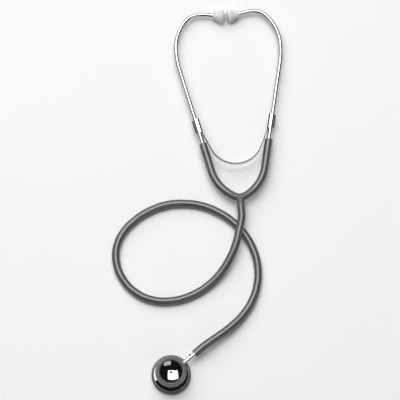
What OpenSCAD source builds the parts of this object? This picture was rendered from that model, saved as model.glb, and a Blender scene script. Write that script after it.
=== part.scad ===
// Dual-head stethoscope lying on a table, with its headset closed and its bell facing up.
// X runs to the right and Y towards the ear tips, Z is up and the table is z = 0.
// The headset is drawn flat in its own frame, which starts at the end of the yoke's tail,
// and is then leaned and pitched as it lies. The chestpiece has its own frame too, with
// X along the stem. Sizes are in millimetres and angles in degrees.

/* [Hose] */
// Outer diameter of the rubber tubing
hose_d = 9.5; // [8:0.1:11]
// Inner diameter of the tubing, the air passage
lumen_d = 4.8; // [3:0.1:5.5]

/* [Yoke] */
// Length of the tail below the fork of the yoke
tail_l = 12; // [8:0.5:20]
// Radius of the tubing's centre line in the crotch of the fork
crotch_r = 14; // [9:0.5:20]
// Turn of the crotch curve on each side
crotch_turn = 28; // [15:1:40]
// Radius of the long curve of each arm
arm_curve_r = 50.5; // [40:0.5:70]
// Straight length of each arm above its curve
arm_straight = 35.5; // [24:0.5:50]
// Extra radius of the tubing in the crotch, where it is moulded thicker
fork_extra = 0.25; // [0.1:0.05:0.6]
// Depth that the metal tubes are pushed into the arms
plug_l = 16; // [8:0.5:22]

/* [Ear tubes] */
// Outer diameter of the metal ear tubes
tube_d = 5; // [4:0.1:6]
// Wall of the metal tubes
tube_wall = 0.7; // [0.4:0.05:1]
// Half angle between the two straight legs
leg_angle = 12.5; // [8:0.5:18]
// Bare length of the lower tube between arm and sleeve
lower_bare = 14; // [10:0.5:20]
// Straight length of the ear tube above the sleeve
ear_leg = 64.5; // [40:0.5:80]
// Radius of the long outer bend
outer_bend_r = 120; // [80:1:160]
// Radius of the shoulder bend
shoulder_r = 57; // [45:1:70]
// Turn of the shoulder bend
shoulder_turn = 41; // [30:1:55]
// Radius of the top bend
top_bend_r = 22; // [16:0.5:30]
// Radius of the last bend, down to the ear tip
dip_bend_r = 50; // [30:1:80]
// Angle by which the ear tips point down towards the yoke
dip = 10; // [4:1:18]

/* [Sleeves] */
// Length of the rolled sleeve that joins ear tube, lower tube and spring
sleeve_l = 18; // [14:0.5:26]
// Wall of the sleeve
sleeve_wall = 0.6; // [0.4:0.05:1]
// Length of the black key in the slit of the sleeve
key_l = 16; // [10:0.5:17]
// Thickness of the black key
key_t = 1.6; // [1:0.1:2.2]
// Height that the key stands out of the sleeve
key_proud = 1.2; // [0.8:0.1:2.5]

/* [Leaf spring] */
// Width of the steel strip
strip_w = 7; // [4:0.5:8]
// Thickness of the steel strip
strip_t = 0.8; // [0.6:0.1:1.2]
// Radius of the U of the spring
spring_r = 32.5; // [26:0.5:36]
// Angle by which the strip leaves the leg
spring_spread = 12; // [11:0.5:16]
// Radius of the bend where the strip leaves the sleeve
spring_bend_r = 10; // [6:1:14]
// Width of the strip's narrow end, which lies inside the sleeve
tang_w = 4; // [3:0.5:5]
// Length of the strip's end inside the sleeve
tang_l = 14; // [8:0.5:17]

/* [Ear tips] */
// Length of an ear tip
tip_l = 15; // [11:0.5:18]
// Largest diameter of an ear tip
tip_d = 16.8; // [13:0.1:19]
// Diameter of the neck of an ear tip
tip_neck_d = 10.6; // [9.8:0.1:12]
// Distance between the middles of the two tip faces
tip_gap = 1.6; // [1:0.1:4]
// Diameter of the sound hole of an ear tip
tip_hole_d = 3; // [2:0.1:4]
// Length of the threaded ferrule inside the tip
ferrule_l = 7; // [4:0.5:9]
// Diameter of the ferrule over its thread
ferrule_d = 7.2; // [6.6:0.1:8]

/* [Chestpiece] */
// Diameter over the rubber rim of the diaphragm side
rim_d = 46.4; // [44:0.1:50]
// Diameter of the diaphragm
diaphragm_d = 40; // [36:0.1:41]
// Thickness of the diaphragm
diaphragm_t = 0.4; // [0.2:0.05:0.6]
// Height of the diaphragm above the table
diaphragm_z = 2.1; // [1.6:0.1:3]
// Depth of the dish above the diaphragm
dish_depth = 3; // [1.5:0.1:3.4]
// Diameter of the waist between the two sides
waist_d = 24; // [22:0.5:26]
// Height of the waist and of the stem
stem_z = 12.4; // [12:0.1:13.5]
// Outer diameter over the rubber ring of the bell
bell_d = 37; // [36:0.1:40]
// Diameter of the opening in the bell's rubber ring
bell_open_d = 26; // [22:0.1:28]
// Height of the top of the metal bell
bell_z = 23.2; // [22.5:0.1:26]
// Depth of the bell's bowl
bowl_depth = 6; // [4:0.1:6.2]
// Diameter of the two sound ports
port_d = 3; // [2:0.1:3.4]

/* [Stem] */
// Distance from the chestpiece's axis to the end of the hose
stem_reach = 36; // [32:0.5:45]
// Outer diameter of the stem tube
stem_d = 4.8; // [4.4:0.1:5.6]
// Diameter of the spindle that turns in the chestpiece
spindle_d = 7.1; // [6.6:0.1:7.6]
// Diameter of the air passage in the stem
stem_bore_d = 3; // [2:0.1:3.4]
// Depth that the stem is pushed into the hose
barb_l = 16; // [10:0.5:22]
// Height of the barbs above the tube they are turned on
barb_h = 0.4; // [0.2:0.05:0.6]
// Direction of the stem, turned from +X towards +Y
stem_turn = 40; // [30:1:50]

/* [Clearances] */
// Radial clearance of parts that turn in each other
run_fit = 0.05; // [0.02:0.01:0.08]
// Gap between parts that are pressed or screwed together
seat_fit = 0.02; // [0.01:0.01:0.05]
// Gap round the ends of the leaf spring
loose_fit = 0.15; // [0.1:0.05:0.3]

/* [Lie of the headset] */
// Lean of the headset, turned from +Y towards -X
lean = 4.2; // [0:0.1:8]

/* [Hidden] */
$fn = 64;

// The hose's centre line on the table: over itself below the yoke, round the big loop,
// under itself again, and up to the stem of the chestpiece.
hose_route = [
    [28, -11, 14], [28.5, -25, 14.4], [25.5, -40, 14.8], [21, -58, 13.5],
    [13, -76, 11], [1, -93.5, 8], [-15, -108, 5.6], [-34, -118.5, 4.8],
    [-55.5, -124, 4.8], [-77, -123, 4.8], [-96.5, -114.5, 4.8], [-111.5, -99.5, 4.8],
    [-120, -80, 4.8], [-120.5, -59, 4.8], [-112.5, -40, 4.8], [-98, -24.5, 4.8],
    [-80, -13, 4.8], [-60, -6, 4.8], [-39, -4.5, 4.8], [-18.5, -7.5, 4.8],
    [1, -15.5, 4.8], [18.5, -27.5, 4.8], [32.5, -43, 4.8], [42.5, -61.5, 4.8],
    [47.5, -82, 4.8], [47, -103, 5], [41, -123, 5.8], [30, -141, 7.2],
    [15.5, -156, 9.2], [-0.5, -168.5, 11.2], [-15, -179, 12.4], [-27.5, -189.5, 12.4]
];
HOSE_SIDES = 10;

RUBBER = [0.32, 0.33, 0.33];
CHROME = [0.86, 0.87, 0.88];
STEEL = [0.7, 0.71, 0.72];
BLACK = [0.06, 0.06, 0.06];
MILKY = [0.88, 0.88, 0.86];
FILM = [0.78, 0.8, 0.8];

hose_r = hose_d / 2;
tube_r = tube_d / 2;
tube_bore_r = tube_r - tube_wall;
stem_r = stem_d / 2;
tip_r = tip_d / 2;

// A trail is a list of steps that a profile is swept along, straight on or in arcs to the
// left. It starts at the origin, heads along +Y and has +X on its right.
GO = 0;
LEFT = 1;
function go(l) = [GO, l];
function left(r, a) = [LEFT, r, a];

// Where a trail ends: x, y and the heading, turned from +Y towards +X.
function ahead(at, s) =
    let (h = at[2])
    s[0] == GO ? [at.x + s[1] * sin(h), at.y + s[1] * cos(h), h]
    : [at.x + s[1] * (cos(h - s[2]) - cos(h)), at.y + s[1] * (sin(h) - sin(h - s[2])), h - s[2]];
function trail_end(at, steps, i = 0) =
    i == len(steps) ? at : trail_end(ahead(at, steps[i]), steps, i + 1);

module stand_at(at) {
    translate([at.x, at.y, 0]) rotate([0, 0, -at[2]]) children();
}

// Sweeps a flat profile along one straight or curved step, and a little past both its ends.
module swept_step(s, past = 0) {
    turn_past = past / s[1] * 180 / PI;
    if (s[0] == GO)
        translate([0, -past, 0]) rotate([90, 0, 0]) mirror([0, 0, 1]) linear_extrude(s[1] + 2 * past) children();
    else
        translate([-s[1], 0, 0]) rotate([0, 0, -turn_past])
            rotate_extrude(angle = s[2] + 2 * turn_past) translate([s[1], 0]) children();
}

// Moves what follows to the end of one step.
module after_step(s) {
    if (s[0] == GO)
        translate([0, s[1], 0]) children();
    else
        translate([-s[1], 0, 0]) rotate([0, 0, s[2]]) translate([s[1], 0, 0]) children();
}

// Every second step is a hair thinner and reaches into its neighbours, so that the steps
// join as one solid.
JOIN_SCALE = 0.999;
JOIN_L = 0.2;
module swept_steps(steps, i = 0) {
    if (i % 2 == 0)
        swept_step(steps[i]) children();
    else
        swept_step(steps[i], JOIN_L) scale(JOIN_SCALE) children();
    if (i < len(steps) - 1)
        after_step(steps[i]) swept_steps(steps, i + 1) children();
}

module swept_trail(at, steps) {
    stand_at(at) swept_steps(steps) children();
}

// An arc of an ellipse as points, for turned profiles.
function oval(c, rx, ry, a0, a1, n = 16) =
    [for (i = [0:n]) let (a = a0 + (a1 - a0) * i / n) [c.x + rx * cos(a), c.y + ry * sin(a)]];

// The right arm of the yoke, from the end of the crotch curve to its open end.
arm_turn = 90 - crotch_turn - leg_angle;
arm_start = trail_end([0, tail_l, 90], [left(crotch_r, crotch_turn)]);
arm_steps = [left(arm_curve_r, arm_turn), go(arm_straight)];
arm_top = trail_end(arm_start, arm_steps);
plug_start = trail_end(arm_top, [go(-plug_l)]);
barb_r = tube_r + barb_h;
plug_bore_r = barb_r + seat_fit;

// The sleeve holds the lower tube in its lower half and the ear tube in its upper half.
sleeve_start = trail_end(arm_top, [go(lower_bare)]);
tube_seam = lower_bare + sleeve_l / 2;
ear_start = trail_end(arm_top, [go(tube_seam + seat_fit)]);
sleeve_bore_r = tube_r + run_fit;
sleeve_r = sleeve_bore_r + sleeve_wall;

// The ear tube ends where its tip has its neck, so that the two tips nearly meet.
ear_bends = [
    go(sleeve_l / 2 - seat_fit + ear_leg), left(outer_bend_r, leg_angle), left(shoulder_r, shoulder_turn),
    left(top_bend_r, 90 - shoulder_turn), left(dip_bend_r, dip)
];
last_bend_end = trail_end(ear_start, ear_bends);
ear_end_l = (last_bend_end.x - tip_gap / 2) / cos(dip) - tip_l;
neck = trail_end(last_bend_end, [go(ear_end_l)]);
ear_steps = concat(ear_bends, [go(ear_end_l + ferrule_l)]);

// The leaf spring starts in the middle of its U and ends inside the sleeve. The strip
// narrows just below the sleeve.
tang_bare = 0.5;
strip_offset = tube_r + loose_fit + strip_t / 2;
strip_heading = leg_angle + spring_spread;
tang_start = trail_end([
    sleeve_start.x - strip_offset * cos(leg_angle), sleeve_start.y + strip_offset * sin(leg_angle), leg_angle
], [go(-tang_bare)]);
strip_bend_in = trail_end([0, 0, strip_heading], [left(spring_bend_r, spring_spread)]);
strip_straight = (tang_start.x - strip_bend_in.x - spring_r * cos(strip_heading)) / sin(strip_heading);
spring_y = tang_start.y - strip_bend_in.y - strip_straight * cos(strip_heading)
    - spring_r * (1 - sin(strip_heading));
spring_middle = [0, spring_y, 90];
spring_steps = [left(spring_r, 90 - strip_heading), go(strip_straight), left(spring_bend_r, spring_spread)];

// The headset is pitched so that the ear tips touch the table while the tail meets the hose.
hose_start = hose_route[0];
tip_middle = trail_end(neck, [go(tip_l * 0.75)]);
pitch = asin((hose_start.z - tip_r) / tip_middle.y);

module headset_frame() {
    translate(hose_start) rotate([-pitch, 0, lean]) children();
}

module right_side() {
    headset_frame() children();
}

module left_side() {
    headset_frame() mirror([1, 0, 0]) children();
}

// The chestpiece's own frame has its origin on the table, under the middle of the diaphragm.
hose_end = hose_route[len(hose_route) - 1];
module chest_frame() {
    translate([hose_end.x, hose_end.y, 0]) rotate([0, 0, stem_turn]) translate([-stem_reach, 0, 0]) children();
}

module along_stem(x = 0) {
    translate([x, 0, stem_z]) rotate([0, 90, 0]) children();
}

// The curve between the two arms, drawn a little past both its ends.
module crotch_curve() {
    past = JOIN_L / crotch_r * 180 / PI;
    translate([0, tail_l + crotch_r, 0]) rotate([0, 0, 270 - crotch_turn - past])
        rotate_extrude(angle = 2 * (crotch_turn + past)) translate([crotch_r, 0]) children();
}

module y_tubing() {
    color(RUBBER) headset_frame() difference() {
        union() {
            rotate([-90, 0, 0]) cylinder(r = hose_r, h = tail_l);
            crotch_curve() circle(r = hose_r + fork_extra);
            for (side = [0, 1])
                mirror([side, 0, 0]) swept_trail(arm_start, arm_steps) circle(r = hose_r);
        }
        translate([0, -1, 0]) rotate([-90, 0, 0]) cylinder(d = lumen_d - fork_extra, h = tail_l + 1);
        crotch_curve() circle(d = lumen_d + fork_extra);
        for (side = [0, 1]) mirror([side, 0, 0]) {
            swept_trail(arm_start, arm_steps) circle(d = lumen_d);
            stand_at(plug_start) rotate([-90, 0, 0]) cylinder(r = plug_bore_r, h = plug_l + 1);
        }
    }
}

// The ring of points round one point of the hose, square to the route there.
function unit(v) = v / norm(v);
function route_heading(p, i) = unit(p[min(i + 1, len(p) - 1)] - p[max(i - 1, 0)]);
function hose_ring(p, i) =
    let (t = route_heading(p, i), s = unit(cross(t, [0, 0, 1])), u = cross(s, t))
    [for (k = [0:HOSE_SIDES - 1])
        let (a = 360 * (k + 0.5) / HOSE_SIDES) p[i] + hose_r * (cos(a) * s + sin(a) * u)];

module hose() {
    rings = len(hose_route);
    points = [for (i = [0:rings - 1]) each hose_ring(hose_route, i)];
    sides = [for (i = [0:rings - 2], k = [0:HOSE_SIDES - 1])
        let (a = i * HOSE_SIDES, b = a + HOSE_SIDES, n = (k + 1) % HOSE_SIDES)
        [a + k, b + k, b + n, a + n]];
    first = [for (k = [0:HOSE_SIDES - 1]) k];
    last = [for (k = [HOSE_SIDES - 1:-1:0]) (rings - 1) * HOSE_SIDES + k];
    color(RUBBER) polyhedron(points, concat([first], sides, [last]), convexity = 10);
}

module leaf_spring() {
    tang_t = strip_t - 0.02;
    color(CHROME) headset_frame() for (side = [0, 1]) mirror([side, 0, 0]) {
        swept_trail(spring_middle, spring_steps) square([strip_t, strip_w], center = true);
        stand_at(tang_start) swept_step(go(tang_bare + tang_l), JOIN_L) square([tang_t, tang_w], center = true);
    }
}

// Turned barbs that grip the tubing, as a profile of radius and length from the end.
BARB_COUNT = 3;
function barbs(r, h, l) =
    let (step = l / (BARB_COUNT + 1))
    [for (i = [1:BARB_COUNT]) each [[r, i * step - step * 0.7], [r + h, i * step], [r, i * step]]];

module lower_tube() {
    color(CHROME) stand_at(plug_start) rotate([-90, 0, 0]) rotate_extrude()
        polygon(concat(
            [[tube_bore_r, 0], [tube_r, 0]],
            barbs(tube_r, barb_h, plug_l),
            [[tube_r, plug_l + tube_seam], [tube_bore_r, plug_l + tube_seam]]
        ));
}

// A strip rolled round the tubes and the flat end of the spring, open along a slit outside.
module sleeve() {
    pocket_x = strip_offset + strip_t / 2 + loose_fit;
    pocket_w = tang_w + 2 * loose_fit;
    corner_r = 0.8;
    color(CHROME) stand_at(sleeve_start) difference() {
        rotate([90, 0, 0]) translate([0, 0, -sleeve_l]) linear_extrude(sleeve_l) hull() {
            circle(r = sleeve_r, $fn = 32);
            for (y = [-1, 1])
                translate([-pocket_x - sleeve_wall + corner_r, y * (pocket_w / 2 + sleeve_wall - corner_r)])
                    circle(r = corner_r, $fn = 16);
        }
        translate([0, -1, 0]) rotate([-90, 0, 0]) cylinder(r = sleeve_bore_r, h = sleeve_l + 2);
        translate([-pocket_x, -1, -pocket_w / 2]) cube([pocket_x - tube_r * 0.8, sleeve_l + 2, pocket_w]);
        translate([0, -1, -key_t / 2 - seat_fit]) cube([sleeve_r + 1, sleeve_l + 2, key_t + 2 * seat_fit]);
    }
}

module sleeve_key() {
    key_in = sleeve_bore_r + seat_fit;
    key_out = sleeve_r + key_proud;
    key_h = key_out - key_in;
    end_r = min(key_proud, key_h) * 0.7;
    color(BLACK) stand_at(sleeve_start) translate([key_in, (sleeve_l - key_l) / 2, -key_t / 2])
        linear_extrude(key_t) union() {
            square([key_h - end_r, key_l]);
            translate([0, end_r]) square([key_h, key_l - 2 * end_r]);
            for (y = [end_r, key_l - end_r]) translate([key_h - end_r, y]) circle(r = end_r);
        }
}

module ear_tube() {
    color(CHROME) difference() {
        swept_trail(ear_start, ear_steps) circle(r = tube_r);
        swept_trail(ear_start, ear_steps) circle(r = tube_bore_r);
    }
}

// The thread is shown as turned rings.
THREAD_RINGS = 4;
module tip_ferrule() {
    pitch_l = ferrule_l / (THREAD_RINGS + 1);
    root_r = ferrule_d / 2 - 0.35;
    color(STEEL) stand_at(neck) rotate([-90, 0, 0]) rotate_extrude()
        polygon(concat(
            [[tube_r + seat_fit, 0], [root_r, 0]],
            [for (i = [1:THREAD_RINGS]) each
                [[root_r, (i - 0.4) * pitch_l], [ferrule_d / 2, i * pitch_l], [root_r, (i + 0.4) * pitch_l]]],
            [[root_r, ferrule_l], [tube_r + seat_fit, ferrule_l]]
        ));
}

module ear_tip() {
    cap_turn = 78;
    neck_r = tip_neck_d / 2;
    wide_at = tip_l * 0.72;
    face_l = tip_l - wide_at;
    lip = 0.8;
    color(MILKY) stand_at(neck) rotate([-90, 0, 0]) rotate_extrude()
        polygon(concat(
            [[ferrule_d / 2 + seat_fit, 0], [neck_r - lip, 0], [neck_r, lip], [neck_r, lip * 2]],
            oval([tip_r - face_l * 0.45, wide_at], face_l * 0.45, face_l * 0.45, -25, 0, 4),
            oval([0, wide_at], tip_r, face_l, 0, cap_turn, 12),
            [[tip_hole_d / 2, tip_l - 0.15], [tip_hole_d / 2, ferrule_l + 0.3], [ferrule_d / 2 + seat_fit, ferrule_l + 0.3]]
        ));
}

// Heights and radii that the pieces of the chestpiece share.
diaphragm_top = diaphragm_z + diaphragm_t;
diaphragm_r = diaphragm_d / 2;
flange_r = diaphragm_r + 0.1;
flange_top = diaphragm_top + 3.2;
ring_wall = 1.4;
ring_r = flange_r + seat_fit + ring_wall;
ring_lip_t = 0.9;
ring_lip_r = diaphragm_r - 1.6;
shoulder_r_out = flange_r + 0.3;
shoulder_top = flange_top + 1.4;
waist_r = waist_d / 2;
bell_lip_r = bell_d / 2 - 1.5;
bowl_r = bell_lip_r - 2;
flare_r = 3.6;
flare_drop = 2.4;
flare_turn = 116;
slope_turn = 235;
slope_edge = [shoulder_r_out - 0.3, shoulder_top - 0.15];
slope_rx = (slope_edge.x - waist_r) / (1 + cos(slope_turn));
slope_ry = (slope_edge.y - stem_z) / sin(slope_turn);
bowl_floor_z = bell_z - bowl_depth;
bore_r = spindle_d / 2 + run_fit;
spindle_in = -7;
bore_end = spindle_in - 0.3;
spindle_out = 14.4;
boss_out = 17;
boss_r = bore_r + 1.8;
groove_x = 15;
groove_w = 0.9;
groove_r = bore_r + 0.8;
detent_x = 3;
ball_r = 1.2;
detent_bore_r = ball_r + run_fit;
detent_depth = 0.5;
ball_y = spindle_d / 2 - detent_depth + run_fit + ball_r;
screw_l = 2;
detent_mouth = sqrt(waist_r * waist_r - detent_x * detent_x);
screw_start = detent_mouth - screw_l - 0.4;

function dome(r, rise, z, n = 14) =
    let (big = (r * r + rise * rise) / (2 * rise), a = asin(r / big))
    [for (i = [0:n]) let (t = a * i / n) [big * sin(t), z + big * (1 - cos(t))]];

module chestpiece_body() {
    dish = [for (p = dome(ring_lip_r, dish_depth, 0)) [p.x, diaphragm_top + dish_depth - p.y]];
    bowl = dome(bowl_r, bowl_depth, bowl_floor_z);
    lower_curve = oval([waist_r + slope_rx, stem_z], slope_rx, slope_ry, slope_turn, 180);
    flare_x = bell_lip_r + flare_r;
    upper_curve = oval([flare_x, stem_z], flare_x - waist_r, bell_z - stem_z - flare_drop, 180, flare_turn);
    color(CHROME) chest_frame() difference() {
        union() {
            rotate_extrude() polygon(concat(
                dish,
                [[flange_r, diaphragm_top], [flange_r, flange_top], [shoulder_r_out, flange_top],
                 [shoulder_r_out, shoulder_top - 0.6]],
                lower_curve, upper_curve,
                [[bell_lip_r, bell_z - 2], [bell_lip_r, bell_z]],
                [for (i = [len(bowl) - 1:-1:0]) bowl[i]]
            ));
            along_stem() cylinder(r = boss_r, h = boss_out);
        }
        along_stem(bore_end) cylinder(r = bore_r, h = boss_out - bore_end + 1);
        along_stem(groove_x) cylinder(r = groove_r, h = groove_w);
        translate([0, 0, diaphragm_top]) cylinder(d = port_d, h = bell_z);
        translate([detent_x, 0, stem_z]) rotate([-90, 0, 0]) cylinder(r = detent_bore_r, h = waist_r + 1);
    }
}

// A rubber ring with a groove that snaps over the metal edge of the bell.
module bell_ring() {
    out_r = bell_d / 2;
    low = bell_z - 4.4;
    top = bell_z + 1.3;
    grip_low = bell_z - 2.1;
    in_r = bell_open_d / 2;
    color(RUBBER) chest_frame() rotate_extrude() polygon(concat(
        [[bell_lip_r + seat_fit, low]],
        oval([out_r - 0.8, low + 0.8], 0.8, 0.8, -90, 0, 6),
        oval([out_r - 2.4, top - 2.4], 2.4, 2.4, 0, 90, 10),
        oval([in_r + 0.9, top - 0.9], 0.9, 0.9, 90, 180, 8),
        [[in_r, bell_z - 0.6], [in_r + 0.5, bell_z + seat_fit],
         [bell_lip_r + seat_fit, bell_z + seat_fit], [bell_lip_r + seat_fit, grip_low]]
    ));
}

module diaphragm() {
    color(FILM) chest_frame() translate([0, 0, diaphragm_z]) cylinder(r = diaphragm_r, h = diaphragm_t);
}

module diaphragm_ring() {
    low = diaphragm_z - ring_lip_t;
    color(CHROME) chest_frame() rotate_extrude() polygon([
        [ring_lip_r, low + 0.3], [ring_lip_r + 0.3, low], [ring_r, low], [ring_r, flange_top],
        [flange_r + seat_fit, flange_top], [flange_r + seat_fit, diaphragm_z], [ring_lip_r, diaphragm_z]
    ]);
}

module diaphragm_rim() {
    out_r = rim_d / 2;
    in_r = ring_r + seat_fit;
    low_lip = ring_lip_r + 1.2;
    under = diaphragm_z - ring_lip_t - seat_fit;
    over = flange_top + seat_fit;
    top = shoulder_top - 0.1;
    color(RUBBER) chest_frame() rotate_extrude() polygon(concat(
        [[low_lip, 0.4], [low_lip + 0.4, 0]],
        oval([out_r - 1.5, 1.5], 1.5, 1.5, -90, 0, 8),
        oval([out_r - 2.2, top - 2.2], 2.2, 2.2, 0, 90, 10),
        [[shoulder_r_out + seat_fit, top], [shoulder_r_out + seat_fit, over],
         [in_r, over], [in_r, under], [low_lip, under]]
    ));
}

// The stem: a spindle with a side port and grooves, then the tube with its barbs.
SEAL_X = [-4.5, 9.5];
seal_groove_w = 1.4;
seal_groove_r = spindle_d / 2 - 0.9;
module stem() {
    tail = stem_reach + barb_l;
    hole_end = -1.5;
    color(CHROME) chest_frame() difference() {
        union() {
            along_stem(spindle_in) cylinder(d = spindle_d, h = spindle_out - spindle_in);
            along_stem(stem_reach + barb_l) rotate([180, 0, 0]) rotate_extrude() polygon(concat(
                [[0, 0], [stem_r - 0.3, 0]],
                barbs(stem_r, barb_h, barb_l),
                [[stem_r, barb_l + 1], [stem_r, tail - spindle_out], [0, tail - spindle_out]]
            ));
        }
        along_stem(hole_end) cylinder(d = stem_bore_d, h = tail - hole_end + 1);
        translate([0, 0, stem_z]) cylinder(d = port_d, h = spindle_d);
        for (x = SEAL_X) along_stem(x) difference() {
            cylinder(d = spindle_d + 2, h = seal_groove_w);
            cylinder(r = seal_groove_r, h = seal_groove_w);
        }
        along_stem(detent_x - ball_r - run_fit) difference() {
            cylinder(d = spindle_d + 2, h = 2 * (ball_r + run_fit));
            cylinder(r = spindle_d / 2 - detent_depth, h = 2 * (ball_r + run_fit));
        }
        translate([pin_x, 0, stem_z]) rotate([-90, 0, 0])
            translate([0, 0, stem_r - pin_seat]) cylinder(r = pin_r + seat_fit, h = 2);
    }
}

module stem_seals() {
    seal_r = (bore_r - run_fit - seal_groove_r) / 2;
    color(BLACK) chest_frame() for (x = SEAL_X)
        along_stem(x + seal_groove_w / 2) rotate_extrude() translate([seal_groove_r + seal_r, 0]) circle(r = seal_r, $fn = 24);
}

// A small pin on the side of the stem shows how the spindle is turned.
pin_x = 31;
pin_r = 0.8;
pin_seat = 0.5;
pin_proud = 1.3;
module index_pin() {
    color(BLACK) chest_frame() translate([pin_x, stem_r - pin_seat + seat_fit, stem_z])
        rotate([-90, 0, 0]) cylinder(r = pin_r, h = pin_seat + pin_proud);
}

// A split ring in the mouth of the bore that keeps the spindle in.
module retaining_ring() {
    color(STEEL) chest_frame() along_stem(groove_x + seat_fit) difference() {
        cylinder(r = groove_r - seat_fit, h = groove_w - 2 * seat_fit);
        translate([0, 0, -1]) cylinder(r = stem_r + 0.3, h = 3);
        translate([0, -0.6, -1]) cube([groove_r + 1, 1.2, 3]);
    }
}

module detent_ball() {
    color(STEEL) chest_frame() translate([detent_x, ball_y, stem_z]) sphere(r = ball_r);
}

// The coil that presses the ball into the groove, as a tube swept along a helix.
COIL_TURNS = 5;
COIL_STEPS = 12;
COIL_SIDES = 6;
module detent_spring() {
    wire_r = 0.2;
    coil_r = detent_bore_r - wire_r - 0.1;
    start = ball_y + ball_r + wire_r;
    end = screw_start - wire_r - seat_fit;
    n = COIL_TURNS * COIL_STEPS;
    points = [for (i = [0:n], k = [0:COIL_SIDES - 1])
        let (a = 360 * i / COIL_STEPS, b = 360 * k / COIL_SIDES, r = coil_r + wire_r * cos(b))
        [r * cos(a), r * sin(a), (end - start) * i / n + wire_r * sin(b)]];
    faces = [for (i = [0:n - 1], k = [0:COIL_SIDES - 1])
        let (p = i * COIL_SIDES, q = p + COIL_SIDES, m = (k + 1) % COIL_SIDES)
        [p + k, p + m, q + m, q + k]];
    first = [for (k = [COIL_SIDES - 1:-1:0]) k];
    last = [for (k = [0:COIL_SIDES - 1]) n * COIL_SIDES + k];
    color(STEEL) chest_frame() translate([detent_x, start, stem_z]) rotate([-90, 0, 0])
        polyhedron(points, concat([first], faces, [last]), convexity = 10);
}

module detent_screw() {
    color(STEEL) chest_frame() translate([detent_x, screw_start, stem_z]) rotate([-90, 0, 0]) difference() {
        cylinder(r = detent_bore_r - seat_fit, h = screw_l);
        translate([-0.25, -2, screw_l - 0.8]) cube([0.5, 4, 2]);
    }
}

y_tubing();
hose();
leaf_spring();
left_side() lower_tube();  // left_lower_tube
right_side() lower_tube();  // right_lower_tube
left_side() sleeve();  // left_sleeve
right_side() sleeve();  // right_sleeve
left_side() sleeve_key();  // left_sleeve_key
right_side() sleeve_key();  // right_sleeve_key
left_side() ear_tube();  // left_ear_tube
right_side() ear_tube();  // right_ear_tube
left_side() tip_ferrule();  // left_tip_ferrule
right_side() tip_ferrule();  // right_tip_ferrule
left_side() ear_tip();  // left_ear_tip
right_side() ear_tip();  // right_ear_tip
stem();
stem_seals();
index_pin();
chestpiece_body();
bell_ring();
diaphragm();
diaphragm_ring();
diaphragm_rim();
retaining_ring();
detent_ball();
detent_spring();
detent_screw();
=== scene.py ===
# %% [markdown]
# # A stethoscope on a table
# This lesson dresses a stethoscope that lies on a pale table. Its solids come packed as a
# frame: every piece of it has a name, a place and a body that it moves with. The solids
# give the sizes. The cells below give each piece its final surface: polished metal,
# rubber, milky plastic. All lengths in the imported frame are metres, with X to the right,
# Y towards the ear tips and Z up from the table.

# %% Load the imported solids
import math

import bmesh
import bpy
from mathutils import Matrix, Vector, noise


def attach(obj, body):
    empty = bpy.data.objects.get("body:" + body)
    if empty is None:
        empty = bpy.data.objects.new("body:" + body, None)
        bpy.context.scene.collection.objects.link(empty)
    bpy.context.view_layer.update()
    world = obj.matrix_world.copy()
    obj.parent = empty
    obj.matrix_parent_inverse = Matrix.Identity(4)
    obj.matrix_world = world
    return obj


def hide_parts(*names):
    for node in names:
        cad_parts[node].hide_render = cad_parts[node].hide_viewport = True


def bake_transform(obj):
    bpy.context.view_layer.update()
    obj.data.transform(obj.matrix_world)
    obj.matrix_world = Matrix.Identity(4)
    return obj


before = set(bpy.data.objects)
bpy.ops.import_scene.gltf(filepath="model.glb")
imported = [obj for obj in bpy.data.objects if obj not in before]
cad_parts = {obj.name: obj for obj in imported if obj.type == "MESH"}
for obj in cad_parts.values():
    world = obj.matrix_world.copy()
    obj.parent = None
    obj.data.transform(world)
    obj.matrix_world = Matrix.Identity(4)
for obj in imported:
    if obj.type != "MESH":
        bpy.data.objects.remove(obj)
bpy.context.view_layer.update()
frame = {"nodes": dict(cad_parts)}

nodes = frame["nodes"]

# %% [markdown]
# ## The camera
# The photograph looks down on the table from three metres, a little from the chestpiece's
# end, so the far side of each ring looks narrower than the near side. A long lens keeps
# the shapes nearly as they are on the table.

# %% Camera
scene = bpy.context.scene
TILT = math.radians(15)
CAMERA_DISTANCE = 3.0
AIM = Vector((-0.021118, 0.001118, 0.0))

camera_data = bpy.data.cameras.new("photo_camera")
camera_data.sensor_width = 36
camera_data.lens = 225
camera = bpy.data.objects.new("photo_camera", camera_data)
scene.collection.objects.link(camera)
camera.location = AIM + CAMERA_DISTANCE * Vector((0, -math.sin(TILT), math.cos(TILT)))
camera.rotation_euler = (TILT, 0, 0)
scene.camera = camera
scene.view_settings.view_transform = "Standard"
print("camera at", tuple(round(v, 3) for v in camera.location))

# %% [markdown]
# ## The hose
# The hose is a rubber tube with a fixed length, which lies in one large loop and crosses
# itself below the yoke. A curve with a round bevel is the natural way to make it: the
# curve is its centre line, and the knots are the same ones that its solid follows.

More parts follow.
